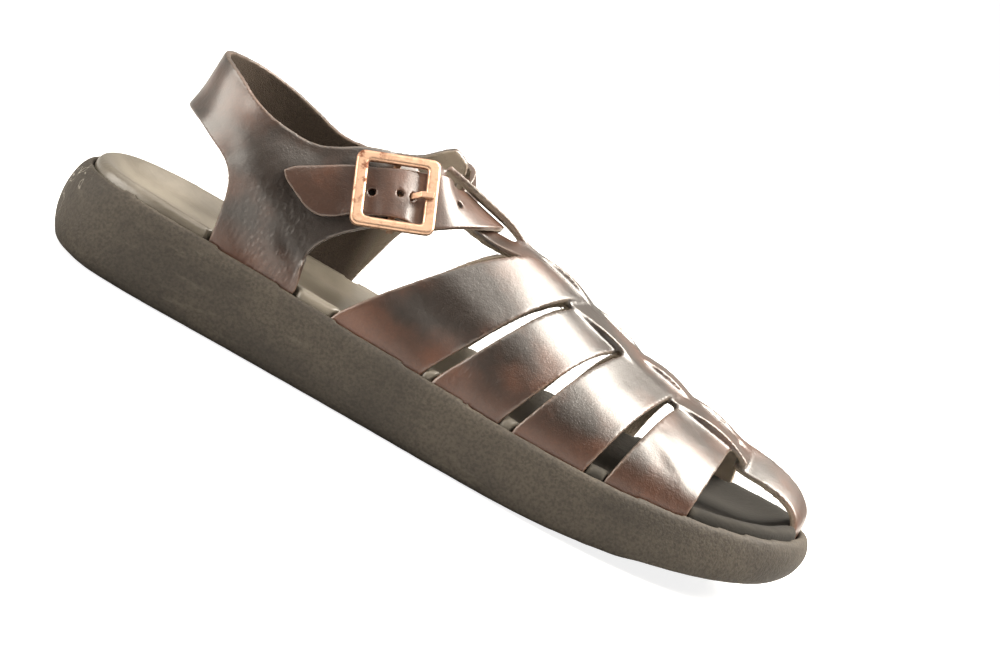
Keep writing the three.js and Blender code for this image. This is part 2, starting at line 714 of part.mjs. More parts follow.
const wallPoint = (x, z, side) => quarterPlace(turnOf(x, z), z, side);

function quarterGrid() {
  const turnsOf = (table) => table.map((row, step) => {
    const lowZ = heightAt(row.lowUp);
    const topZ = heightAt(row.topUp);
    const lowTurn = turnOf(row.lowAlong * soleLength, lowZ);
    const topTurn = turnOf(row.topAlong * soleLength, topZ);
    return { step, lowZ, topZ, lowTurn, topTurn };
  });
  const rows = { outer: turnsOf(quarterOuter), inner: turnsOf(quarterInner) };
  const last = quarterOuter.length - 1;
  const perRow = 2;
  const side = (step) => (step < 0 ? 'outer' : 'inner');
  const steps = Array.from({ length: 2 * last * perRow + 1 }, (_, i) => i / perRow - last);
  return steps.map((step) => {
    const at = (name) => between(rows[side(step)], Math.abs(step), name, 'step');
    return Array.from({ length: 6 }, (_, j) => {
      const w = 1 - j / 5;
      const turn = mix(at('lowTurn'), at('topTurn'), w);
      const z = mix(at('lowZ'), at('topZ'), w);
      return quarterPlace(Math.max(0, turn), z, step < 0 ? -1 : 1);
    });
  });
}

function quarterSolid() {
  return plate(quarterGrid(), () => 0, () => -leather);
}

// The slot in the footbed's rim that the quarter goes down through, on one side.
function quarterSlot(side) {
  const foot = quarterGrid().flat().filter((p) => p.y * side > 0 && p.z < soleTop(p.x) + 3 * rimRise);
  const back = Math.min(...foot.map((p) => p.x)) - slotRoom;
  const front = Math.max(...foot.map((p) => p.x)) + 3 * slotRoom;
  return slotSolid((u, w) => {
    const x = mix(side < 0 ? front : back, side < 0 ? back : front, u);
    return wallPoint(x, soleTop(x) + (1 - 2 * w) * (recessDepth + 1), side);
  });
}

// The buckled strap. Station runs from -6 at its tail on the outer wing, over 0 at the crest,
// to the riveted round end on the inner wing.
const rivetStation = 2.8;
const buckleStation = -3.03;
const holeStations = [-3.55, -2.9, -1.45];
const roundEnd = 10;
const tailRound = 4.5;
const tailStation = -6;

// A row of the strap: its back edge, middle and front edge, from a function of the way across.
function strapRow(station, place) {
  const row = { station };
  Object.entries({ back: 0, middle: 0.5, front: 1 }).forEach(([name, w]) => {
    const point = place(w);
    row[name + 'X'] = point.x;
    row[name + 'Y'] = point.y;
    row[name + 'Z'] = point.z;
  });
  return row;
}
const onWing = (side) => (row) => strapRow(row.station, (w) => {
  const x = mix(row.backAlong, row.frontAlong, w) * soleLength;
  return wallPoint(x, mix(heightAt(row.backUp), heightAt(row.frontUp), w), side);
});
const freePoint = (at) => new THREE.Vector3(at.along * soleLength, at.out * ballWidth, heightAt(at.up));
const freeRow = (row) => strapRow(row.station, (w) => freePoint(row.back).lerp(freePoint(row.front), w));
const onCrest = (row) => strapRow(row.station, (w) => {
  const out = mix(row.backOut, row.frontOut, w) * ballWidth;
  return besideLine(mix(row.backAlong, row.frontAlong, w) * soleLength, out);
});
const strapRows = [
  ...strapOuterTable.map(onWing(-1)),
  freeRow(strapFreeRow),
  ...strapCrestTable.map(onCrest),
  ...strapInnerTable.map(onWing(1)),
];

function strapPlace(station, w) {
  const at = (edge, axis) => between(strapRows, station, edge + axis, 'station');
  const edgePoint = (edge) => new THREE.Vector3(at(edge, 'X'), at(edge, 'Y'), at(edge, 'Z'));
  return edgePoint('back').multiplyScalar((1 - w) * (1 - 2 * w))
    .addScaledVector(edgePoint('middle'), 4 * w * (1 - w))
    .addScaledVector(edgePoint('front'), w * (2 * w - 1));
}

// The strap rises over the buckle's centre bar and weaves through the centre strips: lift of its outer
// face off the last, by station.
const outerLead = 0.4;
const innerLead = 0.6;
const strapLifts = [
  { station: tailStation, lift: strapLift },
  { station: -4.5, lift: strapLift },
  { station: -3.7, lift: strapLift },
  { station: -3.0, lift: strapLift + centreBar + 2 * fitGap },
  { station: -2.3, lift: strapLift },
  { station: -1.8, lift: strapLift },
  { station: -1.1, lift: crossingBase + outerLead },
  { station: 0.0, lift: crossingBase },
  { station: 1.1, lift: crossingBase + innerLead },
  { station: 2.0, lift: strapLift },
  { station: 3.4, lift: strapLift },
];

function strapGrid() {
  const grid = [];
  const body = 44;
  const round = 5;
  const corner = 2;
  const lastCut = 0.6;
  const stationLength = (station) => {
    return 2 * strapPlace(station, 0.5).distanceTo(strapPlace(station + 0.5, 0.5));
  };
  const tailWidth = strapPlace(tailStation, 0).distanceTo(strapPlace(tailStation, 1));
  const bodyStart = tailStation + tailRound / stationLength(tailStation);
  for (let i = 0; i < corner; i += 1) {
    const a = Math.PI / 2 * i / corner;
    const station = mix(bodyStart, tailStation, Math.cos(a));
    grid.push({ station, half: 0.5 - tailRound / tailWidth * (1 - Math.sin(a)) });
  }
  for (let i = 0; i <= body; i += 1) {
    grid.push({ station: mix(bodyStart, rivetStation, i / body), half: 0.5 });
  }
  for (let i = 1; i <= round; i += 1) {
    const a = Math.PI / 2 * i / (round + lastCut);
    const station = rivetStation + roundEnd * Math.sin(a) / stationLength(rivetStation);
    grid.push({ station, half: 0.5 * Math.cos(a) });
  }
  return grid;
}

// Near the buckle the strap lies flat, in the buckle's plane.
const flatReach = { full: 0.95, end: 1.6 };
const wingEndStation = -2.6;

function strapSolid() {
  const rows = strapGrid();
  const grid = rows.map((row) => [0, 1, 2, 3].map((j) => {
    return strapPlace(row.station, 0.5 + row.half * (1 - j / 1.5));
  }));
  const flat = rows.map((row) => {
    const away = Math.abs(row.station - buckleStation);
    return smooth((flatReach.end - away) / (flatReach.end - flatReach.full));
  });
  const normals = gridNormals(grid).map((line, i) => line.map((n) => {
    return n.lerp(buckleAxes.out, flat[i]).normalize();
  }));
  const lift = (i, j) => {
    const depth = buckleAxes.origin.clone().sub(grid[i][j]).dot(buckleAxes.out);
    const least = rows[i].station < wingEndStation ? 0 : depth;
    return between(strapLifts, rows[i].station, 'lift', 'station') + flat[i] * Math.max(least, depth);
  };
  return plate(grid, lift, (i, j) => lift(i, j) - leather, normals);
}

// A frame of axes on the strap: x along it towards the toe side, y across it, z out of it.
function strapAxes(fromStation, toStation) {
  const a = strapPlace(fromStation, 0.5);
  const b = strapPlace(toStation, 0.5);
  const middle = (fromStation + toStation) / 2;
  const alongStrap = b.clone().sub(a).normalize();
  const rough = strapPlace(middle, 0).sub(strapPlace(middle, 1));
  const out = alongStrap.clone().cross(rough).normalize();
  if (out.y * middle < 0) out.negate();
  const upStrap = out.clone().cross(alongStrap).normalize();
  return { origin: strapPlace(middle, 0.5), alongStrap, upStrap, out };
}

function placeOn(axes, lift) {
  const matrix = new THREE.Matrix4().makeBasis(axes.alongStrap, axes.upStrap, axes.out);
  return matrix.setPosition(axes.origin.clone().addScaledVector(axes.out, lift));
}

function boxSolid(matrix, width, height, depth, x, y, z) {
  const geometry = new THREE.BoxGeometry(width, height, depth).translate(x, y, z);
  return solidOf(geometry.applyMatrix4(matrix));
}

const buckleAxes = strapAxes(buckleStation - 1, buckleStation + 1);
const buckleSeat = placeOn(buckleAxes, 0);

function roundedShape(shape, halfWidth, halfHeight, radius) {
  shape.moveTo(-halfWidth + radius, -halfHeight);
  shape.lineTo(halfWidth - radius, -halfHeight);
  shape.absarc(halfWidth - radius, -halfHeight + radius, radius, -Math.PI / 2, 0, false);
  shape.lineTo(halfWidth, halfHeight - radius);
  shape.absarc(halfWidth - radius, halfHeight - radius, radius, 0, Math.PI / 2, false);
  shape.lineTo(-halfWidth + radius, halfHeight);
  shape.absarc(-halfWidth + radius, halfHeight - radius, radius, Math.PI / 2, Math.PI, false);
  shape.lineTo(-halfWidth, -halfHeight + radius);
  shape.absarc(-halfWidth + radius, -halfHeight + radius, radius, Math.PI, Math.PI * 1.5, false);
  return shape;
}

function buckleFrameSolid() {
  const half = { x: buckleLength / 2 - buckleBevel, y: buckleHeight / 2 - buckleBevel };
  const barCore = buckleBar - 2 * buckleBevel;
  const railCore = buckleRail - 2 * buckleBevel;
  const shape = roundedShape(new THREE.Shape(), half.x, half.y, buckleCorner - buckleBevel);
  const window = new THREE.Path();
  roundedShape(window, half.x - barCore, half.y - railCore, windowCorner + buckleBevel);
  shape.holes.push(window);
  const geometry = new THREE.ExtrudeGeometry(shape, {
    depth: buckleThickness - 2 * buckleBevel,
    bevelSize: buckleBevel,
    bevelThickness: buckleBevel,
    bevelSegments: 1,
    curveSegments: 3,
  });
  geometry.translate(0, 0, frameLift + buckleBevel);
  const frame = solidOf(geometry.applyMatrix4(buckleSeat));
  const barLength = buckleHeight - buckleRail;
  const bar = boxSolid(buckleSeat, centreBar, barLength, centreBar, 0, 0, 2 * fitGap + centreBar / 2);
  const lugTop = frameLift + buckleThickness / 2;
  const lugs = [-1, 1].map((end) => {
    const y = end * (buckleHeight - buckleRail) / 2;
    const depth = buckleRail - buckleBevel;
    return boxSolid(buckleSeat, centreBar, depth, lugTop - fitGap, 0, y, (lugTop + fitGap) / 2);
  });
  return frame.add(bar).add(lugs[0]).add(lugs[1]);
}

// The prong: from the centre bar under the strap, up through a hole and onto the front bar.
function prongSolid(grow) {
  const rest = buckleLength / 2 - buckleBar;
  const top = frameLift + buckleThickness + 4 / 3 * fitGap;
  const start = centreBar / 2 + fitGap;
  const foot = 3 * fitGap;
  const route = [
    [start, foot],
    [start + prongFoot, foot],
    [rest - prongLead, top - fitGap],
    [rest + buckleBar * prongReach, top],
  ];
  const shape = new THREE.Shape();
  const low = route.map(([x, z]) => new THREE.Vector2(x, z - grow));
  const high = route.map(([x, z]) => new THREE.Vector2(x - grow, z + prongThickness + grow)).reverse();
  low[0].x -= grow;
  shape.setFromPoints([...low, ...high]);
  const width = prongWidth + 2 * grow;
  const geometry = new THREE.ExtrudeGeometry(shape, { depth: width, bevelEnabled: false });
  geometry.translate(0, 0, -width / 2).rotateX(Math.PI / 2);
  return solidOf(geometry.applyMatrix4(buckleSeat));
}

function cylinderSolid(matrix, radius, depth, x, y, z) {
  const geometry = new THREE.CylinderGeometry(radius, radius, depth, 16).rotateX(Math.PI / 2);
  return solidOf(geometry.translate(x, y, z).applyMatrix4(matrix));
}

function strapHoleSolids() {
  return holeStations.map((station) => {
    const axes = strapAxes(station - 0.3, station + 0.3);
    return cylinderSolid(placeOn(axes, 0), strapHole / 2, 10 * leather, 0, 0, 0);
  });
}

const rivetAxes = strapAxes(rivetStation - 0.3, rivetStation + 0.3);
const rivetSeat = placeOn(rivetAxes, 0);

function rivetSolid() {
  const head = strapLift + 2 * fitGap;
  const foot = -leather - 3 * fitGap;
  const r = rivetDiameter / 2;
  const shank = rivetShank / 2;
  const round = [[1, 0], [0.93, 0.45], [0.62, 0.82], [0, 1]];
  const dome = round.map(([out, up]) => [r * out, head + rivetRise * up]);
  const washer = [[0, foot - rivetFoot], [r * 0.9, foot - rivetFoot], [r * 0.9, foot]];
  const points = [...washer, [shank, foot], [shank, head], ...dome];
  const profile = points.map(([x, y]) => new THREE.Vector2(x, y));
  const geometry = new THREE.LatheGeometry(profile, 20).rotateX(Math.PI / 2);
  return solidOf(geometry.applyMatrix4(rivetSeat));
}

function buildParts() {
  const slots = [toeStrapSlot()];
  crossStraps.forEach((strap) => [-1, 1].forEach((side) => slots.push(crossStrapSlot(strap, side))));
  [-1, 1].forEach((side) => slots.push(quarterSlot(side)));
  let footbed = footbedBlock();
  slots.forEach((slot) => { footbed = footbed.subtract(slot); });
  const rivetHole = cylinderSolid(rivetSeat, rivetShank / 2 + fitGap, 10 * leather, 0, 0, 0);
  let strap = strapSolid().subtract(prongSolid(fitGap)).subtract(rivetHole);
  strapHoleSolids().forEach((hole) => { strap = strap.subtract(hole); });
  return {
    outsole: outsoleSolid(),
    footbed,
    vamp_weave: vampSolid(),
    quarter: quarterSolid().subtract(rivetHole),
    instep_strap: strap,
    buckle_frame: buckleFrameSolid(),
    buckle_prong: prongSolid(0),
    strap_rivet: rivetSolid(),
  };
}

const finishes = {
  outsole: { color: 0x4a443e, roughness: 0.85, metalness: 0 },
  footbed: { color: 0x6b655d, roughness: 0.55, metalness: 0 },
  vamp_weave: { color: 0x4a342c, roughness: 0.35, metalness: 0 },
  quarter: { color: 0x43302a, roughness: 0.4, metalness: 0 },
  instep_strap: { color: 0x43302a, roughness: 0.35, metalness: 0 },
  buckle_frame: { color: 0xc08a60, roughness: 0.35, metalness: 1 },
  buckle_prong: { color: 0xc08a60, roughness: 0.35, metalness: 1 },
  strap_rivet: { color: 0x9a8f80, roughness: 0.3, metalness: 1 },
};

const sandal = new THREE.Group();
Object.entries(buildParts()).forEach(([name, solid]) => {
  const mesh = new THREE.Mesh(geometryOf(solid), new THREE.MeshStandardMaterial(finishes[name]));
  mesh.name = name;
  sandal.add(mesh);
});

export default sandal;
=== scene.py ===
# %% [markdown]
# This lesson dresses a strap sandal: a thick rubber sole, a padded footbed, straps woven through narrow
# strips, a heel quarter and a buckled instep strap. The solid model already has every piece at its real
# size and place. Blender adds what makes it leather, rubber and metal. The frame is read first, because
# every later step works from its pieces.

# %% Read the frame
import math

import bpy
import numpy as np
from mathutils import Matrix, Vector


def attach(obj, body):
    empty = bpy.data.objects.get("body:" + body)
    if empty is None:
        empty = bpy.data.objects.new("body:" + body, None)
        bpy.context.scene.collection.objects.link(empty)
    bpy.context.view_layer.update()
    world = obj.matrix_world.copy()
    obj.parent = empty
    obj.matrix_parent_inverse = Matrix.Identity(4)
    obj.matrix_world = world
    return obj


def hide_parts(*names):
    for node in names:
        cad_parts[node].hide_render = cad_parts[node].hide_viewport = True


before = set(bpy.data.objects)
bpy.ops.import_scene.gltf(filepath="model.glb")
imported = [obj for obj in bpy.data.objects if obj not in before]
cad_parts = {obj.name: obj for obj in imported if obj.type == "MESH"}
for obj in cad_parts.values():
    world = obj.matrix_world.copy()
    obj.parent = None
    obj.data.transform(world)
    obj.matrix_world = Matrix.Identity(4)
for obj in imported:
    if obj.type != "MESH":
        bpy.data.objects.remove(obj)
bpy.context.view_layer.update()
scene = bpy.context.scene
mm = 0.001
print("nodes:", ", ".join(sorted(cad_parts)))

# %% [markdown]
# The camera comes before any piece. The photograph was taken level with the shoe's side, from a little
# above, and the shoe leaned forward on its toe. Here the shoe stands flat, so the camera rolls instead.
# It looks at a point above the middle of the sole, and the lens shift moves that point to its place in
# the picture. Lengths are in metres unless they are multiplied by mm. Only the sensor's width, a
# camera setting, is a plain number of mm.

# %% Place the camera
picture_width = 1000
picture_height = 658
aim_pixel = (437.0, 360.4)
aim = Vector((-1.15, 0, 25)) * mm
azimuth = math.radians(1.33)
elevation = math.radians(9.63)
roll = math.radians(28.27)
distance = 1.404
pixels_per_metre = 2878
sensor = 36
nearest = 0.05
farthest = 50

back = Vector((
    math.sin(azimuth) * math.cos(elevation),
    -math.cos(azimuth) * math.cos(elevation),
    math.sin(elevation),
))
level = Vector((math.cos(azimuth), math.sin(azimuth), 0))
upright = back.cross(level)
right = level * math.cos(roll) + upright * math.sin(roll)
up = upright * math.cos(roll) - level * math.sin(roll)

bpy.ops.object.camera_add(location=aim + back * distance)
camera = bpy.context.object
camera.name = "camera"
camera.rotation_euler = Matrix((right, up, back)).transposed().to_euler()
camera.data.sensor_width = sensor
camera.data.lens = pixels_per_metre * distance / picture_width * sensor
camera.data.shift_x = (picture_width / 2 - aim_pixel[0]) / picture_width
camera.data.shift_y = (aim_pixel[1] - picture_height / 2) / picture_width
camera.data.clip_start = nearest
camera.data.clip_end = farthest
scene.camera = camera
print("lens:", round(camera.data.lens, 1), "mm")

# %% [markdown]
# Shader maths reads best as plain expressions. A small class wraps a node's output, so that adding or
# multiplying two wires adds the Math node.

# %% Write shader maths as expressions
class Wire:
    def __init__(self, finish, socket):
        self.finish = finish
        self.socket = socket

    def maths(self, operation, first, second=0, clamp=False):
        settings = {"operation": operation, "use_clamp": clamp}
        return self.finish.node("ShaderNodeMath", settings, {0: first, 1: second})

    def __add__(self, other):
        return self.maths("ADD", self, other)

    def __sub__(self, other):
        return self.maths("SUBTRACT", self, other)

    def __mul__(self, other):
        return self.maths("MULTIPLY", self, other)

    def __rsub__(self, other):
        return self.maths("SUBTRACT", other, self)

    def __abs__(self):
        return self.maths("ABSOLUTE", self)

    __radd__ = __add__
    __rmul__ = __mul__

    def held(self):
        return self.maths("ADD", self, 0, clamp=True)


print("wires ready")

# %% [markdown]
# A second class holds one finish. One method, node, adds any kind of node, and the helpers under it name
# the few patterns that the finishes share: noise and cells in the piece's own space, a mark that was
# measured on the mesh, and colours laid over each other, each by its share.

# %% Hold one finish
class Finish:
    def __init__(self, name, owner=None):
        self.owner = owner or bpy.data.materials.new(name)
        self.owner.use_nodes = True
        self.tree = self.owner.node_tree

    def node(self, kind, settings=None, values=None, out=0):
        made = self.tree.nodes.new(kind)
        for key, value in (settings or {}).items():
            setattr(made, key, value)
        for key, value in (values or {}).items():
            if isinstance(value, Wire):
                self.tree.links.new(value.socket, made.inputs[key])
            else:
                made.inputs[key].default_value = value
        return Wire(self, made.outputs[out])

    def shader(self, **values):
        surface = self.tree.nodes["Principled BSDF"]
        for key, value in values.items():
            socket = surface.inputs[key.replace("_", " ")]
            if isinstance(value, Wire):
                self.tree.links.new(value.socket, socket)
            else:
                socket.default_value = value
        print(self.owner.name, "has", len(self.tree.nodes), "nodes")

    def place(self, stretch):
        where = self.node("ShaderNodeTexCoord", out="Object")
        return self.node("ShaderNodeMapping", None, {"Vector": where, "Scale": stretch})

    def noise(self, size, detail, stretch=(1, 1, 1)):
        values = {"Vector": self.place(stretch), "Scale": 1 / size, "Detail": detail}
        return self.node("ShaderNodeTexNoise", None, values)

    def cells(self, size, stretch):
        values = {"Vector": self.place(stretch), "Scale": 1 / size}
        return self.node("ShaderNodeTexVoronoi", {"feature": "F1"}, values)

    def spot(self, axis):
        where = self.node("ShaderNodeTexCoord", out="Object")
        return self.node("ShaderNodeSeparateXYZ", None, {"Vector": where}, out=axis)

    def mark(self, name):
        return self.node("ShaderNodeAttribute", {"attribute_name": name}, out="Fac")

    def camera_sees(self):
        return self.node("ShaderNodeLightPath", out="Is Camera Ray")

    def between(self, value, low, high):
        settings = {"interpolation_type": "SMOOTHSTEP"}
        values = {"Value": value, "From Min": low, "From Max": high}
        return self.node("ShaderNodeMapRange", settings, values)

    def blend(self, share, first, second):
        settings = {"data_type": "RGBA"}
        return self.node("ShaderNodeMix", settings, {0: share, 6: first, 7: second}, out=2)

    def layered(self, colour, layers):
        for share, over in layers:
            colour = self.blend(share, colour, over)
        return colour

    def bump(self, height, depth):
        return self.node("ShaderNodeBump", None, {"Height": height, "Distance": depth})


def tint(red, green, blue):
    linear = [((c / 255 + 0.055) / 1.055) ** 2.4 for c in (red, green, blue)]
    return (*linear, 1)


print("finish helpers ready")

# %% [markdown]
# The photograph was lit in a white tent. Everything around the shoe is pale except the side where the
# camera stands, and that darker side is what the polished straps mirror between their two highlights.
# The world fills in from all round, dimmer towards the front, and the camera sees it as pure white.

# %% Fill the tent with light
scene.view_settings.view_transform = "Standard"
scene.view_settings.look = "None"
tent_white = (1, 1, 1, 1)
tent_cream = (1, 0.93, 0.83, 1)
tent_strength = 0.5
front_dimness = 0.85
front_reach = 0.8

world = bpy.data.worlds.new("tent")
scene.world = world
tent = Finish("tent", world)
direction = tent.node("ShaderNodeTexCoord", out="Generated")
depth_way = tent.node("ShaderNodeSeparateXYZ", None, {"Vector": direction}, out="Y")
towards_camera = tent.between(depth_way * -1, 0, front_reach)
seen = tent.camera_sees()
glow = tent_strength * (1 - towards_camera * front_dimness)
wall = tent.tree.nodes["Background"]
tent.tree.links.new(tent.blend(seen, tent_cream, tent_white).socket, wall.inputs["Color"])
tent.tree.links.new((glow + seen * (1 - glow)).socket, wall.inputs["Strength"])
print("tent has", len(tent.tree.nodes), "nodes")

# %% [markdown]
# Broad round area lamps copy the tent's brightest walls. Each row says which way its lamp lies, as
# shares of the picture's up and right and of the way back to the camera. The lamp's distance and width
# are in metres, and its power is in watts.

# %% Hang the lamps
lamp_white = (1, 0.935, 0.84)
lamps = [
    dict(name="top_panel", up=1.0, right=0.35, back=0.2, away=1.1, width=2.0, power=16),
    dict(name="toe_panel", up=0.5, right=1.0, back=0.1, away=1.1, width=1.0, power=50),
    dict(name="heel_panel", up=0.6, right=-1.0, back=0.4, away=1.1, width=1.0, power=19),
    dict(name="front_fill", up=1.25, right=0.3, back=1.0, away=1.5, width=0.9, power=3),
]
for row in lamps:
    way = up * row["up"] + right * row["right"] + back * row["back"]
    bpy.ops.object.light_add(type="AREA", location=aim + way.normalized() * row["away"])
    lamp = bpy.context.object
    lamp.name = row["name"]
    lamp.rotation_euler = way.to_track_quat("Z", "Y").to_euler()
    lamp.data.shape = "DISK"
    lamp.data.size = row["width"]
    lamp.data.energy = row["power"]
    lamp.data.color = lamp_white
    print(row["name"], row["power"], "W")

# %% [markdown]
# The floor is one very wide plane just under the sole. Light that bounces off it finds a grey sheet,
# and the camera alone sees it glow, so that it fades into the white behind the shoe.

# %% Lay the floor
floor_width = 60
floor_drop = 0.4 * mm
floor_grey = (0.45, 0.45, 0.45, 1)
black = (0, 0, 0, 1)

bpy.ops.mesh.primitive_plane_add(size=floor_width, location=(0, 0, -floor_drop))
floor = bpy.context.object
floor.name = "floor"
floor_finish = Finish("floor_white")
floor_finish.shader(
    Base_Color=floor_grey,
    Roughness=0.9,
    Specular_IOR_Level=0.1,
    Emission_Color=floor_finish.blend(floor_finish.camera_sees(), black, tent_white),
    Emission_Strength=0.85,
)
floor.data.materials.append(floor_finish.owner)

# %% [markdown]
# Each piece of the sandal lies on the curved form of a foot, which no primitive has, so each begins as a
# copy of its own solid. The copy's doubled corners are merged and its triangles joined to quads. Sharp
# edges are creased, a subdivision rounds the rest, and a fine voxel remesh gives even faces with softly
# broken edges, as cut leather and moulded rubber have. A voxel's width is in mm, and a piece stays under
# 200,000 triangles.

# %% Copy a solid and refine it
doubled = 0.005 * mm
quad_flatness = math.radians(25)
quad_skew = math.radians(60)


def pick(piece):
    bpy.ops.object.select_all(action="DESELECT")
    piece.select_set(True)
    bpy.context.view_layer.objects.active = piece


def apply_modifier(piece, kind, **settings):
    modifier = piece.modifiers.new(kind.lower(), kind)
    for key, value in settings.items():
        setattr(modifier, key, value)
    pick(piece)
    bpy.ops.object.modifier_apply(modifier=modifier.name)


def refine(node, name, voxel, rounds, sharp=38):
    piece = bpy.data.objects.new(name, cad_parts[node].data.copy())
    scene.collection.objects.link(piece)
    piece.data.materials.clear()
    pick(piece)
    bpy.ops.object.mode_set(mode="EDIT")
    bpy.ops.mesh.select_mode(type="EDGE")
    bpy.ops.mesh.select_all(action="SELECT")
    bpy.ops.mesh.remove_doubles(threshold=doubled)
    bpy.ops.mesh.tris_convert_to_quads(face_threshold=quad_flatness, shape_threshold=quad_skew)
    bpy.ops.mesh.select_all(action="DESELECT")
    bpy.ops.mesh.edges_select_sharp(sharpness=math.radians(sharp))
    bpy.ops.transform.edge_crease(value=1)
    bpy.ops.object.mode_set(mode="OBJECT")
    apply_modifier(piece, "SUBSURF", levels=2, render_levels=2)
    apply_modifier(piece, "REMESH", mode="VOXEL", voxel_size=voxel * mm, adaptivity=0)
    apply_modifier(piece, "SMOOTH", factor=0.5, iterations=rounds)
    pick(piece)
    bpy.ops.object.shade_smooth()
    print(name, 2 * len(piece.data.polygons), "triangles")
    return piece


# %% [markdown]
# Which way is outwards is told from the middle of the foot, taken as an upright sheet that runs from
# heel to toe. It is as high as the foot's inside, given at four places along the shoe, in metres. A
# point on a strap is pushed away from the nearest part of that sheet.

# %% Find the way out of the foot
core_front = 125 * mm
core_back = -88 * mm
core_middle = -3 * mm
core_places = [-0.09, -0.03, 0.04, 0.13]
core_tops = [0.060, 0.050, 0.038, 0.026]
tiny = 1e-6


def numbers(items, key, width, kind=float):
    values = np.empty(len(items) * width, kind)
    items.foreach_get(key, values)
    return values.reshape(-1, width)


def lengths(vectors):
    return np.linalg.norm(vectors, axis=1, keepdims=True)


def away_from_foot(points):
    inside = points.copy()
    inside[:, 0] = np.clip(points[:, 0], core_back, core_front)
    inside[:, 1] = core_middle
    inside[:, 2] = np.minimum(points[:, 2], np.interp(points[:, 0], core_places, core_tops))
    way = points - inside
    return way / np.maximum(lengths(way), tiny)


print("core from", round(core_back / mm), "to", round(core_front / mm), "mm")

# %% [markdown]
# Leather shows how it was made. The outer face is polished, the inner one is brown suede, and cut edges
# are pale and thin, partly as raw leather and partly as a painted highlight. Where two straps cross, and
# in other creases, shade is painted in. Those places follow the piece's form, so they are measured once
# on its mesh and kept as attributes that the finishes read: rim, crevice, flesh and foot.
# An edge bends outwards and a crease bends inwards. Each mark grows from a first value over a span,
# and foot fades out above the sole's top edge, given at five places along the shoe, in metres.

# %% Measure edges, creases and the inner side
rim_first, rim_span = 0.07, 0.13
crevice_first, crevice_span = 0.05, 0.12
flesh_first, flesh_span = 0.1, 1 / 3
sole_places = [-0.145, -0.060, 0.028, 0.100, 0.145]
sole_tops = [0.0318, 0.029, 0.0245, 0.0255, 0.0327]
foot_band = 12 * mm


def grown(values, first, span):
    return np.clip((values - first) / span, 0, 1)


def spread(values, ends, rounds):
    count = np.bincount(ends.ravel(), minlength=len(values))
    for _ in range(rounds):
        total = np.bincount(ends[:, 0], values[ends[:, 1]], len(values))
        total += np.bincount(ends[:, 1], values[ends[:, 0]], len(values))
        values = (values + total) / (1 + count)
    return values


def bends(points, normals, ends):
    first, second = ends[:, 0], ends[:, 1]
    step = points[second] - points[first]
    step /= np.maximum(lengths(step), tiny * mm)
    bend = np.bincount(first, -(normals[first] * step).sum(1), len(points))
    bend += np.bincount(second, (normals[second] * step).sum(1), len(points))
    count = np.bincount(ends.ravel(), minlength=len(points))
    return spread(bend / np.maximum(count, 1), ends, 1)


def keep_mark(piece, name, values):
    piece.data.attributes.new(name, "FLOAT", "POINT").data.foreach_set("value", values)


def measure(piece):
    points = numbers(piece.data.vertices, "co", 3)
    normals = numbers(piece.data.vertex_normals, "vector", 3)
    ends = numbers(piece.data.edges, "vertices", 2, int)
    bend = bends(points, normals, ends)
    inward = -(normals * away_from_foot(points)).sum(1)
    above_sole = points[:, 2] - np.interp(points[:, 0], sole_places, sole_tops)
    marks = {
        "rim": grown(bend, rim_first, rim_span),
        "crevice": spread(grown(-bend, crevice_first, crevice_span), ends, 2),
        "flesh": spread(grown(inward, flesh_first, flesh_span), ends, 1),
        "foot": np.clip(1 - above_sole / foot_band, 0, 1),
    }
    for name, values in marks.items():
        keep_mark(piece, name, values)
    print(piece.name, {name: round(float(values.mean()), 3) for name, values in marks.items()})


# %% [markdown]
# Worn straps are never flat. Folds are laid in one by one, each a soft trough or ridge along a short line
# on the shoe, with a width and a depth. Both faces of the leather move together, so the strap keeps its
# thickness. A push away from the foot is a ridge, and a push towards it is a trough. All sizes are in mm.

# %% Lay a fold in the leather
def fold(piece, folds):
    points = numbers(piece.data.vertices, "co", 3)
    out = away_from_foot(points)
    push = np.zeros(len(points))
    for row in folds:
        start = np.array(row["start"]) * mm
        along = np.array(row["end"]) * mm - start
        share = np.clip(((points - start) @ along) / (along @ along), 0, 1)
        gap = np.linalg.norm(points - start - share[:, None] * along, axis=1)
        push += row["depth"] * mm * np.exp(-((gap / (row["width"] * mm)) ** 2))
    piece.data.vertices.foreach_set("co", (points + out * push[:, None]).ravel())
    piece.data.update()
    print(piece.name, "has", len(folds), "folds")


# %% [markdown]
# Some places stay softer than others, and there the grain breaks into small wrinkles. Such a place is
# a ball round a point on the shoe, with a soft border. Its sizes are in mm too.

# %% Mark a soft place
soft_border = 1.5


def soften(piece, places):
    points = numbers(piece.data.vertices, "co", 3)
    softness = np.zeros(len(points))
    for row in places:
        gap = np.linalg.norm(points - np.array(row["centre"]) * mm, axis=1)
        nearness = np.clip(soft_border - gap / (row["radius"] * mm), 0, 1)
        softness = np.maximum(softness, nearness)
    keep_mark(piece, "soft", softness)
    print(piece.name, "is soft over", round(float(softness.mean()), 3))


# %% [markdown]
# The outsole is one thick slab of dark foamed rubber. Its sides bulge a little, and a shallow well in
# its top holds the footbed. The solid has all of this, so only its faces are refined.

# %% Make the outsole
outsole = refine("outsole", "sole", voxel=1.15, rounds=6, sharp=33)
measure(outsole)

# %% [markdown]
# The footbed is cupped, with a rolled rim that shows between the straps as a soft pale bead. More rounds
# of smoothing give the padded look of leather drawn over foam.

# %% Make the footbed
footbed = refine("footbed", "insole", voxel=1.0, rounds=8, sharp=50)
measure(footbed)

# %% [markdown]
# The vamp is a weave: straps come up from the sole and run over and under narrow strips along the
# middle. The folds here are those that the foot has pressed in: a soft wave in the strap by the toes,
# a hollow low on the widest strap, and slight dips where straps turn down to the sole. The last two
# folds turn the toe strap a little, up on one side and down on the other.

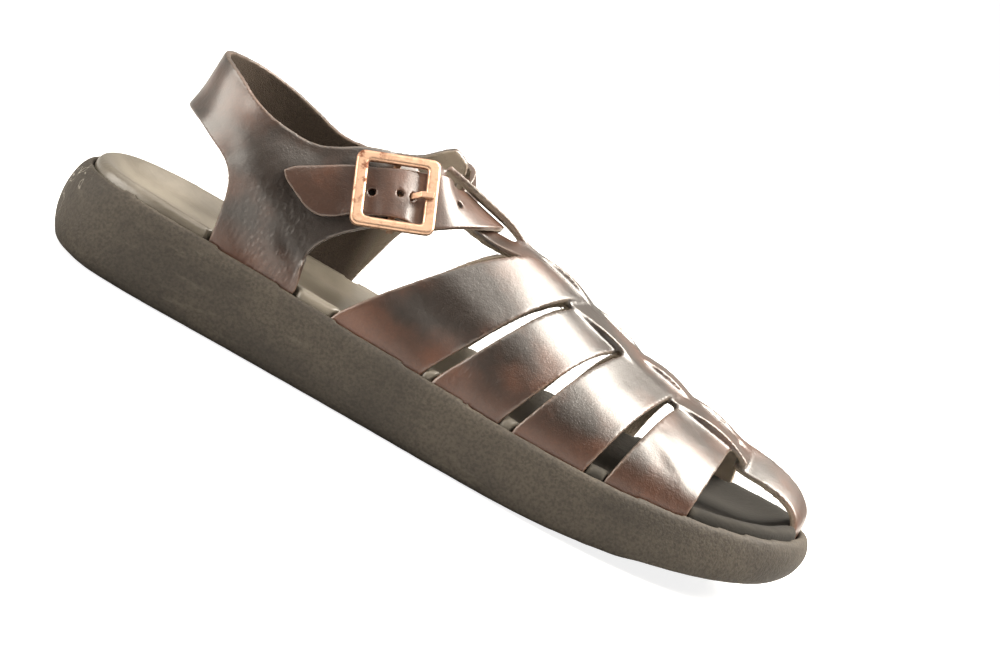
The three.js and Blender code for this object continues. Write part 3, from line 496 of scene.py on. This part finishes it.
# %% Make the woven vamp
vamp = refine("vamp_weave", "woven_straps", voxel=0.74, rounds=3)
fold(vamp, [
    dict(start=(-24, -38, 42), end=(2, -46, 36), width=7, depth=-0.9),
    dict(start=(-8, -32, 54), end=(12, -38, 48), width=8, depth=0.6),
    dict(start=(78, -36, 43), end=(92, -42, 38), width=4, depth=0.8),
    dict(start=(84, -40, 36), end=(104, -38, 39), width=5, depth=-0.7),
    dict(start=(22, -42, 36), end=(34, -30, 50), width=6, depth=-0.5),
    dict(start=(50, -42, 36), end=(60, -30, 46), width=6, depth=0.5),
    dict(start=(10, 38, 40), end=(40, 36, 44), width=7, depth=-0.6),
    dict(start=(70, 40, 32), end=(88, 36, 40), width=6, depth=0.6),
    dict(start=(110, 13, 45), end=(134, 13, 35), width=6, depth=2.4),
    dict(start=(112, -5, 44), end=(134, -5, 33), width=6, depth=-1.4),
])
measure(vamp)
soften(vamp, [
    dict(centre=(12, -46, 32), radius=9),
    dict(centre=(92, -40, 40), radius=7),
    dict(centre=(40, -44, 36), radius=6),
])

# %% [markdown]
# The quarter is one wide piece: a sling round the heel whose two sides come down to the sole and reach
# forward as wings. The leather is softest below the strap, where it wrinkles, so its folds run from the
# buckle down to the heel. The belly is two wide folds that reach under the instep strap, so the strap
# has them as well and the two pieces stay together.

# %% Make the heel quarter
quarter = refine("quarter", "heel_quarter", voxel=0.6, rounds=4)
belly = [
    dict(start=(-104, -22, 58), end=(-80, -34, 55), width=11, depth=2.0),
    dict(start=(-98, -25, 79), end=(-74, -32, 78), width=10, depth=-2.6),
]
fold(quarter, belly + [
    dict(start=(-92, -28, 56), end=(-76, -36, 34), width=6, depth=-1.0),
    dict(start=(-80, -30, 56), end=(-64, -38, 38), width=5, depth=0.8),
    dict(start=(-106, -18, 66), end=(-96, -26, 60), width=7, depth=-0.7),
    dict(start=(-112, -12, 78), end=(-100, -22, 72), width=6, depth=0.5),
    dict(start=(-70, -34, 46), end=(-58, -40, 36), width=3, depth=-0.5),
    dict(start=(-90, 24, 56), end=(-76, 30, 36), width=6, depth=-0.9),
    dict(start=(-78, 26, 56), end=(-64, 32, 40), width=5, depth=0.6),
])
measure(quarter)
soften(quarter, [
    dict(centre=(-72, -36, 44), radius=13),
    dict(centre=(-62, -40, 34), radius=9),
    dict(centre=(-74, 30, 44), radius=12),
])

# %% [markdown]
# The instep strap is a single band. It lies on the outer wing, runs through the buckle, crosses the
# weave and ends under a rivet on the inner wing. A small voxel keeps its punched holes round.

# %% Make the instep strap
strap = refine("instep_strap", "ankle_strap", voxel=0.42, rounds=3)
fold(strap, belly)
measure(strap)
soften(strap, [dict(centre=(-30, 26, 78), radius=12)])

# %% [markdown]
# The buckle is a cast square frame with a flat prong, and the rivet is a low domed stud. Castings have
# rounded edges everywhere, so these small solids get the finest voxels.

# %% Make the metal pieces
buckle = refine("buckle_frame", "buckle_square", voxel=0.28, rounds=6)
prong = refine("buckle_prong", "buckle_pin", voxel=0.16, rounds=3)
rivet = refine("strap_rivet", "rivet_stud", voxel=0.2, rounds=4)
for small in (buckle, prong, rivet):
    measure(small)

# %% [markdown]
# The sole's rubber is matt and a little uneven: cloudy patches, fine pores, pale scuffs and thin
# scratches at the heel's end. Its creases get painted shade, and its edges are a little paler, partly as
# dust and partly as a painted highlight. A scratch is where a slow noise passes its middle.

# %% Mix the sole rubber
heel_scratches = (132 * mm, 141 * mm)

rubber = Finish("foamed_rubber")
cloud = rubber.noise(38 * mm, 4, (1, 1, 1.6))
pale = rubber.between(cloud, 0.35, 0.68)
pore = rubber.between(rubber.noise(1.1 * mm, 2), 0.35, 0.7)
scuff = rubber.between(rubber.noise(9 * mm, 5, (0.5, 1, 2.5)), 0.60, 0.78)
scratch = 1 - rubber.between(abs(rubber.noise(16 * mm, 3) - 0.5), 0.001, 0.006)
heel_end = rubber.between(rubber.spot("X") * -1, *heel_scratches)
grit = rubber.noise(0.8 * mm, 2) + rubber.noise(3.5 * mm, 2) * 1.5
rubber.shader(
    Base_Color=rubber.layered(rubber.blend(pale, tint(55, 50, 44), tint(71, 65, 57)), [
        (pore * 0.5, tint(34, 31, 28)),
        (scuff * 0.16, tint(122, 115, 103)),
        (scratch * heel_end * 0.45, tint(196, 190, 178)),
        # Slightly paler edges: partly dust, partly a painted highlight.
        (rubber.mark("rim") * 0.1, tint(122, 114, 101)),
        # Creases get painted shade.
        (rubber.mark("crevice"), tint(24, 21, 19)),
    ]),
    Roughness=0.62 + cloud * 0.2,
    Normal=rubber.bump(grit, 0.2 * mm),
    Specular_IOR_Level=0.35,
)

# %% [markdown]
# Footbed leather is greyer and more worn than the straps. It shines softly at a low angle, which gives
# the pale heel, so its roughness stays low there, with a faint grain and cloudy wear. Towards the toe,
# under the straps, it turns matt and gets a painted shadow. Its rolled rim is painted paler, as a
# highlight, and its creases get painted shade.

# %% Mix the footbed leather
toe_shade = (-20 * mm, 90 * mm)

lining = Finish("footbed_leather")
wear = lining.noise(30 * mm, 4)
worn = lining.between(wear, 0.35, 0.7)
grain = lining.noise(1.4 * mm, 3, (0.6, 1, 1))
toe_share = lining.between(lining.spot("X"), *toe_shade)
lining.shader(
    Base_Color=lining.layered(lining.blend(worn, tint(96, 90, 80), tint(130, 123, 111)), [
        # Painted shadow of the straps, darkest at the toe.
        (toe_share * 0.95, tint(14, 13, 11)),
        (grain * 0.3, tint(44, 40, 35)),
        # The rolled rim's bead is painted paler, as a highlight.
        (lining.mark("rim") * 0.2, tint(120, 113, 101)),
        # Creases get painted shade.
        (lining.mark("crevice") * 0.7, tint(28, 25, 23)),
    ]),
    Roughness=(0.28 + wear * 0.16 + toe_share * 0.6).held(),
    Normal=lining.bump(grain + lining.noise(0.7 * mm, 2) * 0.6, 0.14 * mm),
    Coat_Weight=(1 - toe_share) * 0.45,
    Coat_Roughness=0.3,
    Specular_IOR_Level=0.45,
)

# %% [markdown]
# Strap leather is dyed almost black, then rubbed, so red-brown shows through in soft clouds. Low on the
# straps, by the sole, the red-brown is partly that rubbed dye and partly a painted reddish highlight
# where the strap turns down. Wax gives a broad sheen over a fine grain. One recipe serves all three
# leather pieces, with the quarter's wrinkles set deeper because its leather is softer, and the buckled
# strap redder. Cut edges are paler, partly raw leather and partly a painted highlight, and creases get
# painted shade. Inside, the suede gets painted light from the buckle forwards, which makes it paler
# there.

# %% Mix the strap leather
# Where painted light on the inner suede begins and is full, along the shoe.
suede_light_span = (-48 * mm, -30 * mm)


def strap_leather(name, pebble, warm=0):
    hide = Finish(name)
    cloudy = hide.noise(22 * mm, 4)
    grainy = hide.noise(0.9 * mm, 3)
    flesh = hide.mark("flesh")
    rim = hide.mark("rim")
    # Red-brown low on the strap is partly rubbed dye and partly a painted reddish highlight.
    warmth_and_low_highlight = hide.between(cloudy, 0.42, 0.72) * 0.55 + hide.mark("foot") * 0.6 + warm
    # Painted light on the suede, paler from the buckle forwards.
    suede_light = hide.between(hide.spot("X"), *suede_light_span)
    suede = hide.blend(hide.noise(0.5 * mm, 4), tint(40, 33, 28), tint(78, 67, 57))
    suede = hide.blend(suede_light * 0.9, suede, tint(196, 182, 164))
    wrinkle = hide.between(hide.cells(1.8 * mm, (1, 1, 0.6)), 0.1, 0.7)
    wrinkle = wrinkle * hide.mark("soft") * pebble * 1.6
    waves = hide.noise(8 * mm, 2) * 4 + hide.noise(2.6 * mm, 2, (1, 1, 0.5)) * 0.8
    fine = grainy * 0.9 + hide.noise(0.45 * mm, 2) * 0.5 + waves
    nap = hide.noise(0.35 * mm, 4) * flesh * 2.5
    hide.shader(
        Base_Color=hide.layered(hide.blend(warmth_and_low_highlight.held(), tint(38, 28, 22), tint(102, 62, 42)), [
            (grainy * 0.5, tint(18, 13, 11)),
            (flesh, suede),
            # Paler cut edges: partly raw leather, partly a painted highlight.
            (rim * 0.4, tint(140, 118, 100)),
            # Creases and strap crossings get painted shade.
            (hide.mark("crevice"), tint(14, 11, 10)),
        ]),
        Roughness=(0.34 + cloudy * 0.16 + flesh * 0.5 + rim * 0.1).held(),
        Normal=hide.bump(fine + wrinkle + nap, 0.2 * mm),
        Coat_Weight=(1 - flesh).held(),
        Coat_Roughness=0.3,
        Coat_IOR=1.6,
        Specular_IOR_Level=0.3,
    )
    return hide.owner


smooth_hide = strap_leather("strap_leather", pebble=0.5)
soft_hide = strap_leather("quarter_leather", pebble=1.6)
warm_hide = strap_leather("buckled_leather", pebble=0.5, warm=0.3)

# %% [markdown]
# The buckle is copper-plated. The plate is rubbed pale on its flats, and a dark brown patina is left
# in its hollows and on the bar towards the heel. Its rounded outer edges get painted shade. The stud is
# duller, like pewter, with dark blotches.

# %% Mix the metals
heel_side_bar = (47.5 * mm, 50.5 * mm)


def plated(name, bright, dark, patina, rough, worn_side=0, painted_edge_shade=0):
    metal = Finish(name)
    blotches = metal.noise(3.4 * mm, 6) + metal.noise(0.9 * mm, 3) * 0.35
    stain = metal.between(blotches, 0.62, 0.86)
    far_bar = metal.between(metal.spot("X") * -1, *heel_side_bar)
    amount = 1 - worn_side * (1 - far_bar)
    # Painted shade on the rounded outer edges, and patina in the hollows.
    edges = metal.mark("rim") * painted_edge_shade + metal.mark("crevice") * 0.6
    share = (stain * amount * patina + far_bar * worn_side * 0.3 + edges).held()
    metal.shader(
        Base_Color=metal.blend(share, bright, dark),
        Metallic=1 - share * 0.5,
        Roughness=rough + share * 0.3,
        Normal=metal.bump(metal.noise(0.6 * mm, 3), 0.05 * mm),
    )
    return metal.owner


copper_colours = (tint(206, 170, 144), tint(104, 60, 38))
pewter_colours = (tint(168, 160, 150), tint(70, 62, 54))
copper = plated("worn_copper", *copper_colours, patina=0.95, rough=0.34, worn_side=0.6, painted_edge_shade=0.9)
pewter = plated("dull_pewter", *pewter_colours, patina=0.7, rough=0.38)

# %% [markdown]
# Last, every piece gets its finish, takes the place of its solid and rides with the shoe's one body.

# %% Put each piece in place
dressed = [
    (outsole, "outsole", "sole_rubber", rubber.owner),
    (footbed, "footbed", "footbed_leather", lining.owner),
    (vamp, "vamp_weave", "strap_leather", smooth_hide),
    (quarter, "quarter", "strap_leather", soft_hide),
    (strap, "instep_strap", "strap_leather", warm_hide),
    (buckle, "buckle_frame", "buckle_metal", copper),
    (prong, "buckle_prong", "buckle_metal", copper),
    (rivet, "strap_rivet", "rivet_metal", pewter),
]
for piece, node, slot, material in dressed:
    piece.data.materials.append(material)
    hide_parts(node)
    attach(piece, "root")
print("triangles:", sum(2 * len(piece.data.polygons) for piece, *_ in dressed))
